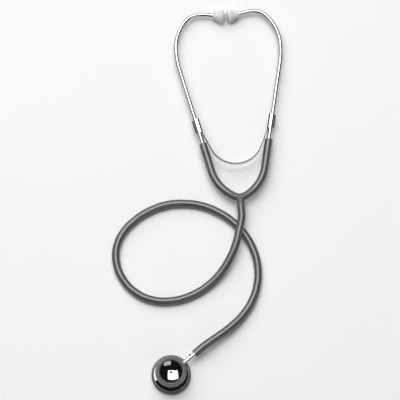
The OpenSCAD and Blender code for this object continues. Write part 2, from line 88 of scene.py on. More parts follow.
# %% Hose
HOSE_R = 0.00475
HOSE_ROUTE = [
    (0.0280, -0.0110, 0.0140), (0.0285, -0.0250, 0.0144), (0.0255, -0.0400, 0.0148),
    (0.0210, -0.0580, 0.0135), (0.0130, -0.0760, 0.0110), (0.0010, -0.0935, 0.0080),
    (-0.0150, -0.1080, 0.0056), (-0.0340, -0.1185, 0.0048), (-0.0555, -0.1240, 0.0048),
    (-0.0770, -0.1230, 0.0048), (-0.0965, -0.1145, 0.0048), (-0.1115, -0.0995, 0.0048),
    (-0.1200, -0.0800, 0.0048), (-0.1205, -0.0590, 0.0048), (-0.1125, -0.0400, 0.0048),
    (-0.0980, -0.0245, 0.0048), (-0.0800, -0.0130, 0.0048), (-0.0600, -0.0060, 0.0048),
    (-0.0390, -0.0045, 0.0048), (-0.0185, -0.0075, 0.0048), (0.0010, -0.0155, 0.0048),
    (0.0185, -0.0275, 0.0048), (0.0325, -0.0430, 0.0048), (0.0425, -0.0615, 0.0048),
    (0.0475, -0.0820, 0.0048), (0.0470, -0.1030, 0.0050), (0.0410, -0.1230, 0.0058),
    (0.0300, -0.1410, 0.0072), (0.0155, -0.1560, 0.0092), (-0.0005, -0.1685, 0.0112),
    (-0.0150, -0.1790, 0.0124), (-0.0275, -0.1895, 0.0124),
]


def place(name, data):
    """An object at the origin that shows some data."""
    obj = bpy.data.objects.new(name, data)
    scene.collection.objects.link(obj)
    return obj


hose_curve = bpy.data.curves.new("hose_rubber", "CURVE")
hose_curve.dimensions = "3D"
hose_curve.bevel_depth = 1.0
hose_curve.bevel_resolution = 10
hose_curve.resolution_u = 10
hose_curve.use_fill_caps = True
hose_line = hose_curve.splines.new("BEZIER")
hose_line.bezier_points.add(len(HOSE_ROUTE) - 1)
for knot, point in zip(hose_line.bezier_points, HOSE_ROUTE):
    knot.co = point
    knot.handle_left_type = knot.handle_right_type = "AUTO"
    knot.radius = HOSE_R
hose = place("hose_rubber", hose_curve)
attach(hose, "tubing")
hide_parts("hose")

# %% [markdown]
# ## A little shader language
# Each finish is a few sums of noise patterns. Wiring those sums by hand is slow to read, so
# a small class wraps a node's output and lets Python's own signs add the Math nodes. Every
# other node comes from one method.

# %% Shader helpers
class Link:
    """A node's output, to be used in sums such as 1 - mask."""

    def __init__(self, nodes, socket):
        self.nodes, self.socket = nodes, socket

    def math(self, operation, first, second):
        return self.nodes.node("ShaderNodeMath", {"operation": operation}, {0: first, 1: second})

    def __add__(self, other):
        return self.math("ADD", self, other)

    def __radd__(self, other):
        return self.math("ADD", other, self)

    def __sub__(self, other):
        return self.math("SUBTRACT", self, other)

    def __rsub__(self, other):
        return self.math("SUBTRACT", other, self)

    def __mul__(self, other):
        return self.math("MULTIPLY", self, other)

    def __rmul__(self, other):
        return self.math("MULTIPLY", other, self)


class Finish:
    """The node tree of a material or of the world."""

    def __init__(self, owner):
        owner.use_nodes = True
        self.owner, self.tree = owner, owner.node_tree
        self.tree.nodes.clear()

    def node(self, kind, settings=None, inputs=None, output=0):
        made = self.tree.nodes.new(kind)
        for key, value in (settings or {}).items():
            if key == "stops":
                ramp = made.color_ramp.elements
                while len(ramp) < len(value):
                    ramp.new(0.5)
                for stop, (position, colour) in zip(ramp, value):
                    stop.position, stop.color = position, (*colour, 1)
            else:
                setattr(made, key, value)
        for key, value in (inputs or {}).items():
            if isinstance(value, Link):
                self.tree.links.new(value.socket, made.inputs[key])
            else:
                made.inputs[key].default_value = value
        return Link(self, made.outputs[output]) if made.outputs else None

    def spots(self, scale, detail=2.0, stretch=(1, 1, 1), roughness=0.5):
        """Noise from 0 to 1 that lies still on the piece, with scale in blobs per metre."""
        where = self.node("ShaderNodeTexCoord", output="Object")
        if stretch != (1, 1, 1):
            where = self.node("ShaderNodeMapping", inputs={"Vector": where, "Scale": stretch})
        return self.node("ShaderNodeTexNoise", inputs={
            "Vector": where, "Scale": scale, "Detail": detail, "Roughness": roughness})

    def spread(self, value, low, high, to_low=0.0, to_high=1.0):
        """Stretches the range low to high of a value to another range, and stops at its ends."""
        return self.node("ShaderNodeMapRange", inputs={
            "Value": value, "From Min": low, "From Max": high, "To Min": to_low, "To Max": to_high})

    def blend(self, mask, colour_a, colour_b):
        ends = {6: (*colour_a, 1) if isinstance(colour_a, tuple) else colour_a,
                7: (*colour_b, 1) if isinstance(colour_b, tuple) else colour_b}
        return self.node("ShaderNodeMix", {"data_type": "RGBA"}, {0: mask, **ends}, output=2)

    def bump(self, height, distance):
        return self.node("ShaderNodeBump", inputs={"Height": height, "Distance": distance, "Strength": 1.0})

    def surface(self, **inputs):
        """Ends the tree in a Principled shader. Names are its sockets, with _ for a space."""
        shader = self.node("ShaderNodeBsdfPrincipled", inputs={
            key.replace("_", " "): value for key, value in inputs.items()})
        self.node("ShaderNodeOutputMaterial", inputs={"Surface": shader})
        return self.owner


def new_finish(name):
    return Finish(bpy.data.materials.new(name))


print("shader helpers ready")

# %% [markdown]
# ## Rubber
# The tubing is dark grey, with a satin skin that shows a soft line of light along its top.
# Old rubber is never one grey: it has cloudy patches, a dusting of lighter specks, and a
# skin that is a little rougher in some places than in others.

# %% Rubber finishes
def rubber(name, dark, light, roughness, grain=1.0, dull_at=None):
    """Rubber finish. Moulded rubber is duller near dull_at, where a fillet came out of the mould."""
    f = new_finish(name)
    clouds = f.spread(f.spots(38, 3), 0.3, 0.7)
    specks = f.spread(f.spots(2600, 1), 0.66, 0.76)
    base = f.blend(clouds, dark, light)
    base = f.blend(specks * 0.22, base, tuple(min(1.0, 2.1 * c) for c in light))
    satin = f.spread(f.spots(150, 3), 0.3, 0.7, roughness - 0.05, roughness + 0.06)
    if dull_at:
        where = f.node("ShaderNodeTexCoord", output="Object")
        away = f.node("ShaderNodeVectorMath", {"operation": "DISTANCE"}, {0: where, 1: dull_at}, output=1)
        satin = satin + f.spread(away, 0.009, 0.021, 0.35, 0.0)
    skin = f.spots(900, 3) * 0.7 + f.spots(60, 2) * 1.6
    return f.surface(Base_Color=base, Roughness=satin + specks * 0.15, IOR=1.7,
                     Normal=f.bump(skin, 0.00004 * grain))


TUBING_DARK, TUBING_LIGHT = (0.08, 0.082, 0.083), (0.098, 0.1, 0.101)
hose_rubber = rubber("tubing_rubber", TUBING_DARK, TUBING_LIGHT, 0.17)
ring_rubber = rubber("ring_rubber", (0.1, 0.101, 0.102), (0.13, 0.131, 0.132), 0.26)
# The rim's rubber is a darker grey than the bell ring's: painted shade.
rim_rubber = rubber("rim_rubber", (0.058, 0.059, 0.06), (0.075, 0.076, 0.077), 0.34)
# Near-black rubber: the stem's seals, and painted shade in the bell ring's grooves and inner lip.
seal_rubber = rubber("seal_rubber", (0.012, 0.012, 0.012), (0.02, 0.02, 0.02), 0.4)
print("rubbers:", hose_rubber.name, ring_rubber.name, rim_rubber.name, seal_rubber.name)

# %% [markdown]
# ## Metal
# Chrome plate is almost a mirror, and what it shows is the room. What makes it look real
# is what is not perfect: faint finger smudges that dull it in patches, and hair scratches.
# The hidden small parts are plain turned steel. Near-black dull metal is painted shade in the
# sound holes and on a sleeve's side, and a painted dark reflection on the spring's edges.

# %% Metal finishes
def chrome(name, tint=(0.5, 0.505, 0.51), polish=0.02):
    f = new_finish(name)
    smudges = f.spread(f.spots(90, 4, roughness=0.6), 0.42, 0.72)
    scratches = f.spread(f.spots(700, 2, stretch=(1, 0.04, 1)), 0.62, 0.72)
    haze = f.blend(smudges * 0.35, tint, tuple(0.9 * c for c in tint))
    return f.surface(Base_Color=haze, Metallic=1.0, Roughness=polish + smudges * 0.02 + scratches * 0.03,
                     Normal=f.bump(f.spots(260, 2) * 0.5 + scratches * 0.2, 0.000006))


def turned_steel(name):
    f = new_finish(name)
    lines = f.spots(1500, 2)
    return f.surface(Base_Color=f.blend(lines, (0.42, 0.42, 0.43), (0.6, 0.6, 0.61)), Metallic=1.0,
                     Roughness=f.spread(lines, 0.3, 0.7, 0.28, 0.4), Normal=f.bump(lines, 0.00002))


# Near-black dull metal: painted shade in bores and on a sleeve's side, and a painted dark reflection on the
# spring's edges.
def painted_shade_metal(name):
    f = new_finish(name)
    shade_noise = f.spots(400, 3)
    return f.surface(Base_Color=f.blend(shade_noise, (0.02, 0.02, 0.02), (0.04, 0.04, 0.04)), Metallic=1.0,
                     Roughness=f.spread(shade_noise, 0.3, 0.7, 0.45, 0.6), Normal=f.bump(shade_noise, 0.00001))


bright_chrome = chrome("bright_chrome")
steel = turned_steel("turned_steel")
painted_shade_steel = painted_shade_metal("painted_shade_steel")
print("metals:", bright_chrome.name, steel.name, painted_shade_steel.name)

# %% [markdown]
# ## Plastic
# The ear tips are a milky, slightly uneven plastic that lets light in. The keys in the
# sleeves and the small pin on the stem are black, and the diaphragm is a smooth pale sheet.

# %% Plastic finishes
def plastic(name, colour_a, colour_b, roughness, lumps, distance, ior=1.47, milk=0.0):
    f = new_finish(name)
    patches = f.spread(f.spots(lumps, 3), 0.3, 0.7)
    return f.surface(Base_Color=f.blend(patches, colour_a, colour_b), IOR=ior,
                     Subsurface_Weight=milk, Subsurface_Scale=0.004, Subsurface_Radius=(1, 1, 1),
                     Roughness=f.spread(f.spots(2 * lumps, 2), 0.3, 0.7, roughness - 0.05, roughness + 0.08),
                     Normal=f.bump(f.spots(lumps, 3) + f.spots(6 * lumps, 2) * 0.2, distance))


milky_plastic = plastic("milky_plastic", (0.72, 0.72, 0.705), (0.82, 0.82, 0.805),
                        roughness=0.4, lumps=260, distance=0.00035, milk=0.5)
black_plastic = plastic("black_plastic", (0.008, 0.008, 0.008), (0.016, 0.016, 0.016),
                        roughness=0.4, lumps=800, distance=0.00003, ior=1.3)
pale_sheet = plastic("diaphragm_sheet", (0.55, 0.55, 0.53), (0.6, 0.6, 0.58),
                     roughness=0.2, lumps=300, distance=0.00004)
print("plastics:", milky_plastic.name, black_plastic.name, pale_sheet.name)

# %% [markdown]
# ## Finishing a mesh
# Most pieces end in the same way: normals outward, a smooth surface that breaks only at
# real edges, a material, and a body to ride on.

# %% Mesh helpers
MM = 0.001


def finish_mesh(bm, name, material, slot, body, *solids, move=Matrix(), edge=35):
    """Turns a bmesh into a piece that rides on a body, if one is given, in place of some solids."""
    bmesh.ops.transform(bm, matrix=move, verts=bm.verts)
    mesh = bpy.data.meshes.new(name)
    bm.to_mesh(mesh)
    bm.free()
    mesh.shade_smooth()
    mesh.set_sharp_from_angle(angle=math.radians(edge))
    mesh.materials.append(material)
    obj = place(name, mesh)
    if body:
        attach(obj, body)
    if solids:
        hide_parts(*solids)
    return obj


def carry(bm, matrix):
    """Moves a bmesh, and turns its faces outward again, which a mirrored side needs."""
    bmesh.ops.transform(bm, matrix=matrix, verts=bm.verts)
    bmesh.ops.recalc_face_normals(bm, faces=bm.faces)
    return bm


def sharp_edges(bm, angle=30):
    return [e for e in bm.edges if e.is_manifold and e.calc_face_angle(0) > math.radians(angle)]


def turn(profile, steps=96, closed=False, soften=0.0):
    """A bmesh turned round Z from (radius, height) pairs in millimetres."""
    bm = bmesh.new()
    verts = [bm.verts.new((r * MM, 0, z * MM)) for r, z in profile]
    pairs = zip(verts, verts[1:] + verts[:1]) if closed else zip(verts, verts[1:])
    edges = [bm.edges.new(pair) for pair in pairs]
    bmesh.ops.spin(bm, geom=verts + edges, cent=(0, 0, 0), axis=(0, 0, 1), dvec=(0, 0, 0),
                   angle=2 * math.pi, steps=steps, use_merge=True, use_normal_flip=False, use_duplicate=False)
    bmesh.ops.remove_doubles(bm, verts=bm.verts, dist=1e-6)
    bmesh.ops.recalc_face_normals(bm, faces=bm.faces)
    if soften:
        bmesh.ops.bevel(bm, geom=sharp_edges(bm), offset=soften * MM, offset_type="OFFSET", affect="EDGES",
                        segments=3, profile=0.5, material=-1, clamp_overlap=True)
    return bm


def arc(centre, rx, ry, start, end, count=12):
    """Points on part of an ellipse, for profiles. Angles are degrees from the outward side."""
    angles = [math.radians(start + (end - start) * i / count) for i in range(count + 1)]
    return [(centre[0] + rx * math.cos(a), centre[1] + ry * math.sin(a)) for a in angles]


print("mesh helpers ready")

# %% [markdown]
# ## Two working frames
# The headset is flat, so it is easiest to draw flat, starting from the end of the yoke's
# tail, and then to lean and pitch it as it lies. The chestpiece is drawn upright round its
# own middle, with its stem along X. One matrix each puts them where the solids are.

# %% Working frames
LEAN = 4.2
PITCH = 1.3213
headset = (Matrix.Translation(HOSE_ROUTE[0]) @ Matrix.Rotation(math.radians(LEAN), 4, "Z")
           @ Matrix.Rotation(math.radians(-PITCH), 4, "X"))
FLIP = Matrix.Diagonal((-1, 1, 1, 1))
SIDES = (("right", Matrix()), ("left", FLIP))

STEM_TURN = math.radians(40)
STEM_REACH = 36.0
STEM_Z = 12.4
chest = (Matrix.Translation((HOSE_ROUTE[-1][0], HOSE_ROUTE[-1][1], 0)) @ Matrix.Rotation(STEM_TURN, 4, "Z")
         @ Matrix.Translation((-STEM_REACH * MM, 0, 0)))
along_stem = chest @ Matrix.Translation((0, 0, STEM_Z * MM)) @ Matrix.Rotation(math.radians(90), 4, "Y")
print("chestpiece middle", tuple(round(v, 4) for v in chest.translation))

# %% [markdown]
# Some pieces get a darker second finish that is painted shade: in a bore, in a groove, on a
# sleeve's side, and on a strip's edge as a painted dark reflection. It goes to the faces
# whose middles pass a test in a working frame.

# %% Second finish: painted shade
def paint_shade(obj, material, inside, frame_of=chest):
    """Paints shade: gives a darker second finish to the faces whose middles, in millimetres in a working
    frame, are inside.
    """
    obj.data.materials.append(material)
    back = frame_of.inverted()
    for face in obj.data.polygons:
        if inside(back @ face.center / MM):
            face.material_index = 1


print("second finish ready")

# %% [markdown]
# ## Sweeping along a trail
# Tubes and the leaf spring are all one profile swept along straight lines and arcs, as a
# tube bender would make them. A trail is a start, which is a place and a heading, and a
# list of steps. An arc is a spin about its own centre, and a straight is an extrusion.

# %% Trail helpers
def heading(at):
    return Vector((math.sin(math.radians(at[2])), math.cos(math.radians(at[2])), 0))


def walk(at, steps):
    """Where a trail ends: x, y in millimetres and the heading in degrees from +Y towards +X."""
    for step in steps:
        x, y, h = at
        if step[0] == "go":
            at = (x + step[1] * heading(at).x, y + step[1] * heading(at).y, h)
        else:
            radius, turned = step[1], step[2]
            a, b = math.radians(h), math.radians(h - turned)
            at = (x + radius * (math.cos(b) - math.cos(a)),
                  y + radius * (math.sin(a) - math.sin(b)), h - turned)
    return at


def spot(at):
    """A point of a trail, in metres."""
    return Vector((at[0], at[1], 0)) * MM


def stand(at):
    """The matrix that puts a profile drawn in XY at a point of a trail, facing along it."""
    return (Matrix.Translation((at[0] * MM, at[1] * MM, 0)) @ Matrix.Rotation(-math.radians(at[2]), 4, "Z")
            @ Matrix.Rotation(math.radians(-90), 4, "X"))


def sweep(bm, edges, at, steps, every=1.5):
    """Sweeps a loop of edges along a trail, with a ring about every so many millimetres."""
    for step in steps:
        verts = list({v for e in edges for v in e.verts})
        if step[0] == "go":
            count = max(1, round(step[1] / (3 * every)))
            for _ in range(count):
                made = bmesh.ops.extrude_edge_only(bm, edges=edges)["geom"]
                moved = [v for v in made if isinstance(v, bmesh.types.BMVert)]
                bmesh.ops.translate(bm, vec=heading(at) * step[1] / count * MM, verts=moved)
                edges = [e for e in made if isinstance(e, bmesh.types.BMEdge)
                         and e.verts[0] in moved and e.verts[1] in moved]
        else:
            radius, turned = step[1], math.radians(step[2])
            side = Vector((-heading(at).y, heading(at).x, 0))
            centre = (Vector((at[0], at[1], 0)) + radius * side) * MM
            made = bmesh.ops.spin(bm, geom=verts + edges, cent=centre, axis=(0, 0, 1), dvec=(0, 0, 0),
                                  angle=turned, steps=max(4, math.ceil(radius * turned / every)),
                                  use_merge=False, use_normal_flip=False, use_duplicate=False)["geom_last"]
            edges = [e for e in made if isinstance(e, bmesh.types.BMEdge)]
        at = walk(at, [step])
    return edges


def ring(bm, radius, at, segments=40):
    """A circle of edges across a trail."""
    verts = bmesh.ops.create_circle(bm, cap_ends=False, radius=radius * MM, segments=segments,
                                    matrix=stand(at))["verts"]
    return [e for e in bm.edges if e.verts[0] in verts and e.verts[1] in verts]


def swept_tube(radius, at, steps, segments=40, every=1.5):
    """A closed tube along a trail."""
    bm = bmesh.new()
    sweep(bm, ring(bm, radius, at, segments), at, steps, every)
    bmesh.ops.holes_fill(bm, edges=bm.edges, sides=0)
    bmesh.ops.recalc_face_normals(bm, faces=bm.faces)
    return bm


print("trail helpers ready")

# %% [markdown]
# ## Sizes of the headset
# These are the sizes that the solids have, in millimetres: the yoke's arms, the metal
# tubes and the spring. The derived places come from walking the same trails.

# %% Headset sizes
TUBE_R = 2.5
LEG_ANGLE = 12.5
TAIL_L, CROTCH_R, CROTCH_TURN, ARM_R = 12, 14, 28, 50.5
ARM_STEPS = [("left", ARM_R, 90 - CROTCH_TURN - LEG_ANGLE), ("go", 35.5)]
LOWER_BARE, SLEEVE_L, PLUG_L, EAR_LEG = 14, 18, 16, 64.5
BARB_H, END_GAP = 0.4, 0.02
TIP_L, TIP_R, TIP_GAP, DIP, FERRULE_L = 15, 8.4, 1.6, 10, 7
SPRING_R, SPRING_SPREAD, SPRING_BEND_R = 32.5, 12, 10
STRIP_T, STRIP_W, STRIP_CORNER, STRIP_EDGE, STRIP_GAP = 0.8, 7.0, 0.3, 0.35, 0.15
TANG_L, TANG_BARE, TANG_W = 14, 0.5, 4.0

crotch = (0, TAIL_L, 90)
arm_start = walk(crotch, [("left", CROTCH_R, CROTCH_TURN)])
arm_top = walk(arm_start, ARM_STEPS)
plug_start = walk(arm_top, [("go", -PLUG_L)])
sleeve_start = walk(arm_top, [("go", LOWER_BARE)])
ear_start = walk(sleeve_start, [("go", SLEEVE_L / 2 + END_GAP)])
EAR_BENDS = [("go", SLEEVE_L / 2 - END_GAP + EAR_LEG), ("left", 120, LEG_ANGLE), ("left", 57, 41),
             ("left", 22, 49), ("left", 50, DIP)]
last_bend = walk(ear_start, EAR_BENDS)
EAR_END_L = (last_bend[0] - TIP_GAP / 2) / math.cos(math.radians(DIP)) - TIP_L
neck = walk(last_bend, [("go", EAR_END_L)])
print("arm top", [round(v, 2) for v in arm_top], "neck", [round(v, 2) for v in neck])

# %% [markdown]
# ## The yoke
# The yoke is moulded rubber: two arms run into one tail, and the moulding leaves a soft
# fillet where they meet. Sharp crossings of three tubes would look wrong there, so the
# tubes are fused with a voxel remesh and then smoothed. The result is cut across each arm,
# into a fork that rides with the tubing and two separate arms. The plane of such
# a cut also meets the other arm, so each arm is cut down the middle of the yoke as well.

# %% Fuse the yoke
def evaluated(obj):
    """A mesh with an object's modifiers applied."""
    return bpy.data.meshes.new_from_object(obj.evaluated_get(bpy.context.evaluated_depsgraph_get()))


YOKE_EXTRA = 4
YOKE_SIDES, YOKE_STEP = 48, 1.2
VOXEL = 0.00055
bm = bmesh.new()
for mirrored in (False, True):
    start = len(bm.verts)
    sweep(bm, ring(bm, HOSE_R / MM, crotch, YOKE_SIDES), crotch,
          [("left", CROTCH_R, CROTCH_TURN)] + ARM_STEPS, YOKE_STEP)
    bm.verts.ensure_lookup_table()
    if mirrored:
        bmesh.ops.transform(bm, matrix=FLIP, verts=bm.verts[start:])
bmesh.ops.remove_doubles(bm, verts=bm.verts, dist=2e-5)
tail_start = (0, -YOKE_EXTRA, 0)
sweep(bm, ring(bm, HOSE_R / MM, tail_start, YOKE_SIDES), tail_start,
      [("go", TAIL_L + YOKE_EXTRA)], YOKE_STEP)
bmesh.ops.holes_fill(bm, edges=bm.edges, sides=0)
bmesh.ops.recalc_face_normals(bm, faces=bm.faces)
fork_mesh = bpy.data.meshes.new("yoke_fused")
bm.to_mesh(fork_mesh)
bm.free()
fuser = place("yoke_fused", fork_mesh)
remesh = fuser.modifiers.new("fuse", "REMESH")
remesh.mode = "VOXEL"
remesh.voxel_size = VOXEL
yoke_mesh = evaluated(fuser)
bpy.data.objects.remove(fuser)
fork_point = Vector((0, TAIL_L, 0)) * MM
yoke_rubber = rubber("yoke_rubber", TUBING_DARK, TUBING_LIGHT, 0.17, dull_at=headset @ fork_point)
print("fused yoke faces", len(yoke_mesh.polygons))

# %% [markdown]
# The fillet needs more smoothing than the arms do, so points near the fork are smoothed
# many times and the rest only enough to lose the voxels' steps.

# %% Smooth and cut the yoke
def kept_side(mesh, cuts):
    """A bmesh of the part of a mesh that lies on the positive side of each (point, normal)."""
    bm = bmesh.new()
    bm.from_mesh(mesh)
    for point, normal in cuts:
        bmesh.ops.bisect_plane(bm, geom=bm.verts[:] + bm.edges[:] + bm.faces[:], dist=1e-7, plane_co=point,
                               plane_no=normal, clear_inner=True, clear_outer=False)
    bmesh.ops.holes_fill(bm, edges=bm.edges, sides=0)
    return bm


def smooth(bm, verts, passes):
    for _ in range(passes):
        bmesh.ops.smooth_vert(bm, verts=verts, factor=0.5, use_axis_x=True, use_axis_y=True, use_axis_z=True)


SKIN_PASSES, FILLET_PASSES, FILLET_REACH = 6, 22, 11.5
bm = bmesh.new()
bm.from_mesh(yoke_mesh)
smooth(bm, bm.verts, SKIN_PASSES)
smooth(bm, [v for v in bm.verts if (v.co - fork_point).length < FILLET_REACH * MM], FILLET_PASSES)
bm.to_mesh(yoke_mesh)
bm.free()

CUT_TURN = 14
cut = walk(arm_start, [("left", ARM_R, CUT_TURN)])
cut_point, cut_way = spot(cut), heading(cut)
left_point, left_way = FLIP @ cut_point, FLIP.to_3x3() @ cut_way
tail_cut = (Vector((0, 0, 0)), Vector((0, 1, 0)))
fork = finish_mesh(kept_side(yoke_mesh, [(cut_point, -cut_way), (left_point, -left_way), tail_cut]),
                   "yoke_fork", yoke_rubber, "hose_rubber", "tubing", "y_tubing", move=headset)
arms = {}
for side, point, way, flip in (("right", cut_point, cut_way, Matrix()), ("left", left_point, left_way, FLIP)):
    own_side = (Vector((0, 0, 0)), flip.to_3x3() @ Vector((1, 0, 0)))
    arm = finish_mesh(kept_side(yoke_mesh, [(point, way), own_side]), f"yoke_{side}_arm", yoke_rubber,
                      "hose_rubber", None, move=headset)
    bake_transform(arm)
    arms[side] = arm
print("fork faces", len(fork.data.polygons), "arm faces", len(arms["left"].data.polygons))

# %% [markdown]
# ## The leaf spring
# A strip of springy steel, bent to a U, pushes the ear tubes together. Each end lies flat
# in a sleeve. Its edges are rounded, because sheared strip is always dressed. It is made
# as two halves that meet in the middle, one for each side.

# %% Leaf spring
OFFSET = TUBE_R + STRIP_GAP + STRIP_T / 2
STRIP_HEADING = LEG_ANGLE + SPRING_SPREAD
foot = (sleeve_start[0] - OFFSET * math.cos(math.radians(LEG_ANGLE)),
        sleeve_start[1] + OFFSET * math.sin(math.radians(LEG_ANGLE)), LEG_ANGLE)
tang_start = walk(foot, [("go", -TANG_BARE)])
bend_in = walk((0, 0, STRIP_HEADING), [("left", SPRING_BEND_R, SPRING_SPREAD)])
quarter = walk((0, 0, 90), [("left", SPRING_R, 90 - STRIP_HEADING)])
STRAIGHT = (tang_start[0] - bend_in[0] - quarter[0]) / math.sin(math.radians(STRIP_HEADING))
middle = (0, tang_start[1] - bend_in[1] - quarter[1] - STRAIGHT * math.cos(math.radians(STRIP_HEADING)), 90)
SPRING_STEPS = [("left", SPRING_R, 90 - STRIP_HEADING), ("go", STRAIGHT),
                ("left", SPRING_BEND_R, SPRING_SPREAD)]


def strip_profile(bm, at, width):
    """The strip's cross-section, with its four corners rounded."""
    face = bmesh.ops.create_grid(bm, x_segments=1, y_segments=1, size=0.5 * MM, matrix=Matrix())["verts"]
    bmesh.ops.scale(bm, vec=(STRIP_T, width, 1), verts=face)
    bmesh.ops.bevel(bm, geom=face, offset=STRIP_CORNER * MM, offset_type="OFFSET", affect="VERTICES",
                    segments=4, profile=0.5, material=-1, clamp_overlap=True)
    bmesh.ops.delete(bm, geom=bm.faces[:], context="FACES_ONLY")
    bmesh.ops.transform(bm, matrix=stand(at), verts=bm.verts)
    return bm.edges[:]


def swept_strip(at, steps, width):
    bm = bmesh.new()
    sweep(bm, strip_profile(bm, at, width), at, steps, 1.0)
    bmesh.ops.holes_fill(bm, edges=bm.edges, sides=0)
    return bm


for side, flip in SIDES:
    for part, bm in (("strip", swept_strip(middle, SPRING_STEPS, STRIP_W)),
                     ("tang", swept_strip(tang_start, [("go", TANG_BARE + TANG_L)], TANG_W))):
        solids = ("leaf_spring",) if (side, part) == ("right", "strip") else ()
        half = finish_mesh(carry(bm, headset @ flip), f"leaf_spring_{side}_{part}", bright_chrome, "chrome",
                           None, *solids)
        # Painted dark reflection: the strip's long edges get the near-black finish.
        paint_shade(half, painted_shade_steel, lambda p: abs(p.z) > STRIP_W / 2 - STRIP_EDGE, headset)
        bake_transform(half)
print("spring bottom", round(middle[1], 2), "straight", round(STRAIGHT, 2))

# %% [markdown]
# ## The metal tubes
# The ear tubes are bent tube, so they are swept with many sides and short steps: a chrome
# surface shows every facet. The lower tubes are straight, and their barbs grip the rubber.

# %% Metal tubes
def barbs(radius, height, length, count=3):
    step = length / (count + 1)
    return [p for i in range(1, count + 1) for p in (
        (radius, i * step - step * 0.7), (radius + height, i * step), (radius, i * step))]


for side, flip in SIDES:
    move = headset @ flip
    bm = swept_tube(TUBE_R, ear_start, EAR_BENDS + [("go", EAR_END_L + FERRULE_L)], segments=48, every=1.0)
    tube = finish_mesh(carry(bm, move), f"{side}_ear_tube_chrome", bright_chrome, "chrome", f"{side}_ear",
                       f"{side}_ear_tube")
    top = PLUG_L + LOWER_BARE + SLEEVE_L / 2
    bm = turn([(0, 0), (TUBE_R, 0)] + barbs(TUBE_R, BARB_H, PLUG_L) + [(TUBE_R, top), (0, top)], steps=48)
    finish_mesh(carry(bm, move @ stand(plug_start)), f"{side}_lower_tube_chrome", bright_chrome, "chrome",
                f"{side}_branch", f"{side}_lower_tube")
print("ear tube faces", len(tube.data.polygons))

# %% [markdown]
# ## The ear tips
# A turned profile gives the mushroom: a soft collar at the neck, a cone, a wide rounded
# shoulder and a face with the sound hole. Moulded tips are never quite true, so a little
# noise then moves every point in or out.

# %% Ear tips
SEAT_R, SEAT_L, SOUND_R = 3.62, 7.4, 1.5
TIP_LUMPS, TIP_UNEVEN, TIP_SKIN_R = 260, 0.28, 4
TIP_PROFILE = (
    [(SEAT_R, 0), (4.6, 0)] + arc((4.6, 0.9), 0.9, 0.9, -60, 70, 5) + [(5.05, 2.1)]
    + [(5.35, 3.4), (5.9, 5.6), (6.6, 7.8)] + arc((6.35, 10.4), 2.05, 1.9, -35, 0, 4)
    + arc((0, 10.8), TIP_R, TIP_R / 2, 4, 76, 14) + arc((2.3, 14.35), 0.8, 0.5, 80, 180, 4)
    + [(SOUND_R, 13.5), (SOUND_R, SEAT_L), (SEAT_R, SEAT_L)]
)
for side, flip in SIDES:
    bm = turn(TIP_PROFILE, steps=72, closed=True)
    bmesh.ops.subdivide_edges(bm, edges=bm.edges[:], cuts=1, use_grid_fill=True)
    for v in bm.verts:
        out = Vector((v.co.x, v.co.y, 0))
        if out.length > TIP_SKIN_R * MM:
            seed = v.co * TIP_LUMPS + Vector((0, 0, 7 if side == "left" else 0))
            v.co += out.normalized() * noise.noise(seed) * TIP_UNEVEN * MM
    tip = finish_mesh(carry(bm, headset @ flip @ stand(neck)), f"{side}_ear_tip_milky", milky_plastic,
                      "milky_plastic", f"{side}_ear", f"{side}_ear_tip", edge=50)
print("ear tip faces", len(tip.data.polygons))

# %% [markdown]
# ## Copies of small solids
# The sleeves, keys and small fittings already have the right shape as solids, but their
# meshes are loose triangles, so they would look faceted. A merged copy with smooth
# shading that breaks at real edges is enough for them. A sleeve is rolled round the tube and
# the spring's tang, and the side round the tang is painted near black as shade, so the copy is cut along that
# seam.

# %% Smooth copies
def smooth_copy(node, material, slot, body, edge=30, seam=None):
    """A smooth copy of a solid. A seam is a point and a direction, and adds a line of edges there."""
    bm = bmesh.new()
    bm.from_mesh(nodes[node].data)
    bmesh.ops.remove_doubles(bm, verts=bm.verts, dist=2e-6)
    bmesh.ops.dissolve_limit(bm, angle_limit=math.radians(0.5), use_dissolve_boundaries=False, verts=bm.verts,
                             edges=bm.edges)
    if seam:
        bmesh.ops.bisect_plane(bm, geom=bm.verts[:] + bm.edges[:] + bm.faces[:], dist=1e-7, plane_co=seam[0],
                               plane_no=seam[1])
    return finish_mesh(bm, f"{node}_finished", material, slot, body, node, edge=edge)


SEAM_IN = 2.3
outward = Vector((math.cos(math.radians(LEG_ANGLE)), -math.sin(math.radians(LEG_ANGLE)), 0))
seam_point = Vector((sleeve_start[0], sleeve_start[1], 0)) - SEAM_IN * outward
for side, flip in SIDES:
    move = headset @ flip
    sleeve = smooth_copy(f"{side}_sleeve", bright_chrome, "chrome", f"{side}_branch", edge=80,
                         seam=(move @ (seam_point * MM), move.to_3x3() @ outward))
    # Painted shade: the sleeve's side round the tang gets the near-black finish.
    paint_shade(sleeve, painted_shade_steel, lambda p: (p - seam_point).dot(outward) < 0, move)
    smooth_copy(f"{side}_sleeve_key", black_plastic, "black_plastic", f"{side}_branch")
stem = smooth_copy("stem", bright_chrome, "chrome", "tubing")
smooth_copy("index_pin", black_plastic, "black_plastic", "tubing")
smooth_copy("diaphragm_ring", bright_chrome, "chrome", "chestpiece")
print("smooth copies made")

# %% [markdown]
# ## The chestpiece
# The body is one turning: a shallow dish below, a flange, a narrow waist and a bell with a
# polished bowl. Its bore for the spindle and the boss round it are cut and added across.

# %% Chestpiece body
def dome(r, rise, z, count=24):
    """A shallow spherical cap from its middle outwards."""
    big = (r * r + rise * rise) / (2 * rise)
    end = math.asin(r / big)
    angles = [end * i / count for i in range(count + 1)]
    return [(big * math.sin(a), z + big * (1 - math.cos(a))) for a in angles]


